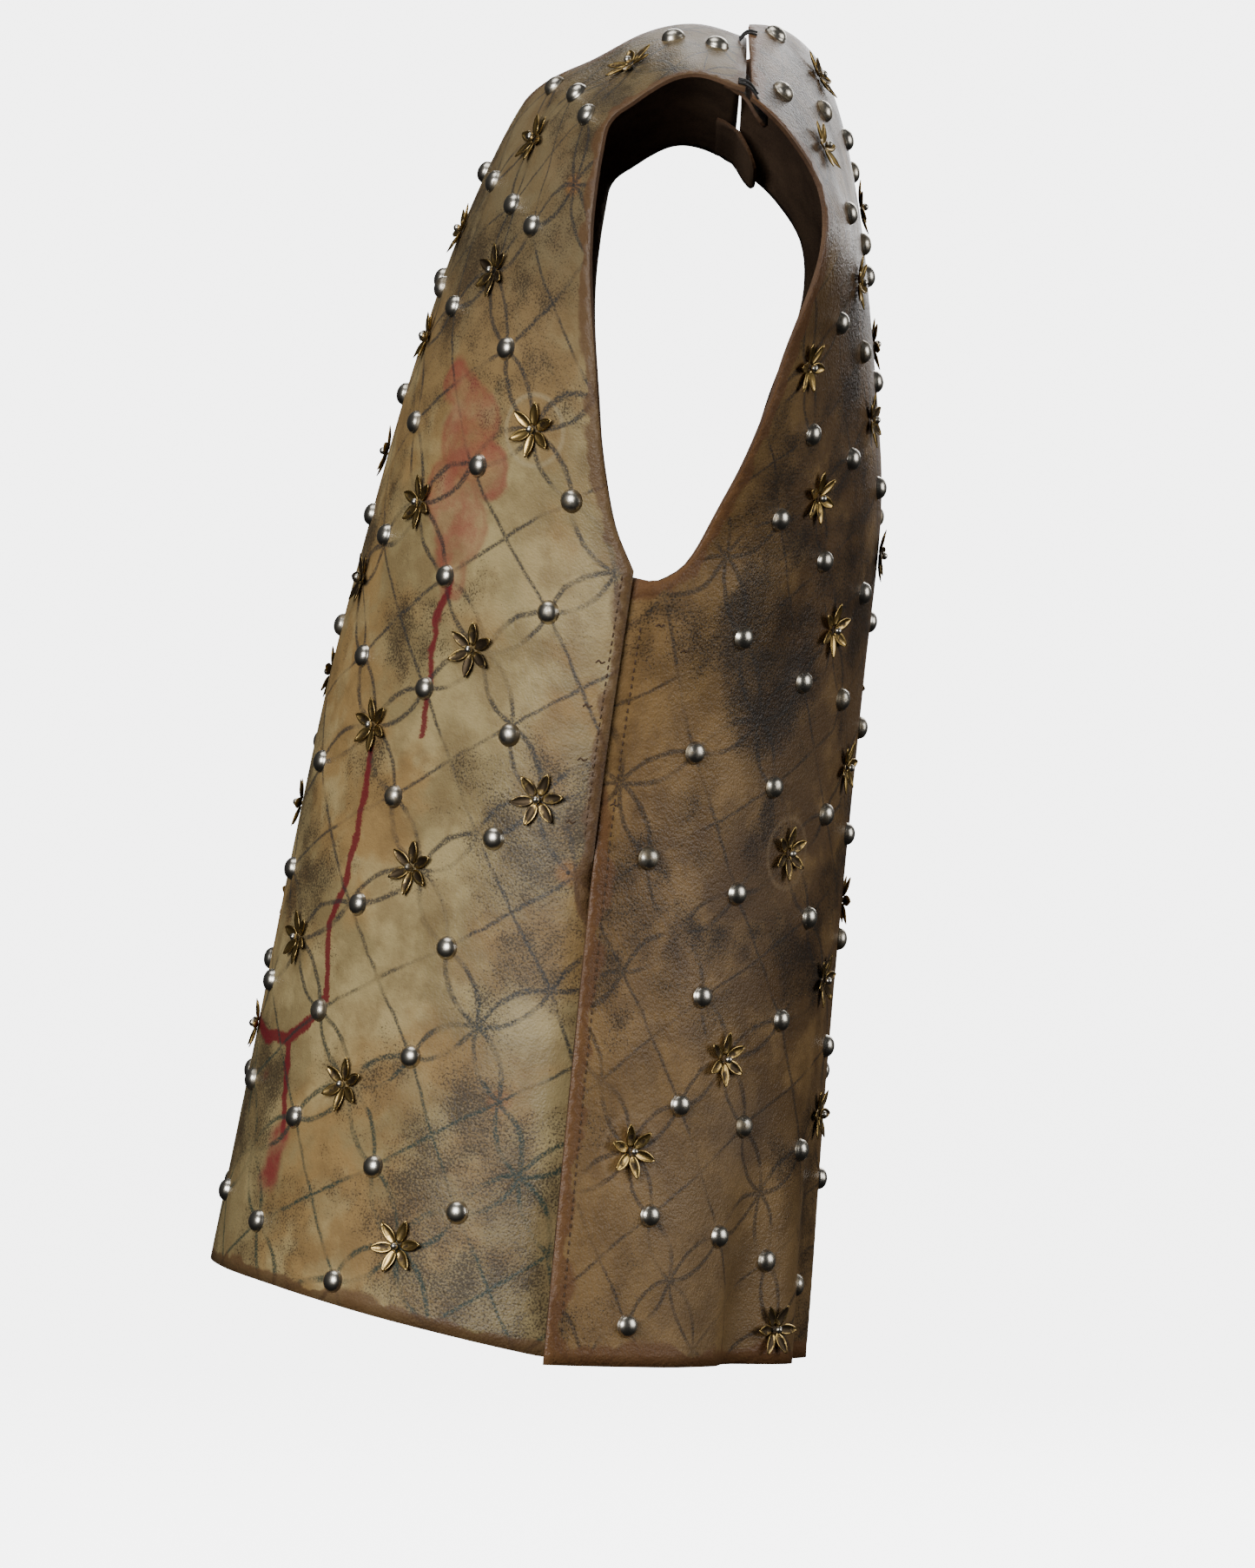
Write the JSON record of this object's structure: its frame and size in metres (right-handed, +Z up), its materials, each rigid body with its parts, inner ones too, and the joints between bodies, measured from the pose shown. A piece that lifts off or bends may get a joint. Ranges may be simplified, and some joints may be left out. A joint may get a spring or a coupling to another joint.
{
  "type": "studded leather tunic",
  "caption": "Sleeveless leather tunic of a front and a back panel joined at the shoulders, set with metal studs and rosettes, in the hollow form it is worn in.",
  "frame": {"origin": "between the shoulders, where the wearer carries the tunic", "axes": "+Z up, +X to the wearer's left, +Y to the wearer's back"},
  "size_m": [0.423, 0.3735, 0.7292],
  "materials": {
    "front_leather": "worn, sooty",
    "back_leather": "worn, slight sheen",
    "tab_leather": "matt",
    "stud_metal": "polished",
    "flower_metal": "antiqued",
    "thread": "waxed"
  },
  "bodies": {
    "root": {"front_panel": "front_leather", "back_panel": "back_leather", "shoulder_tab_left": "tab_leather", "shoulder_tab_right": "tab_leather"}
  },
  "joints": []
}
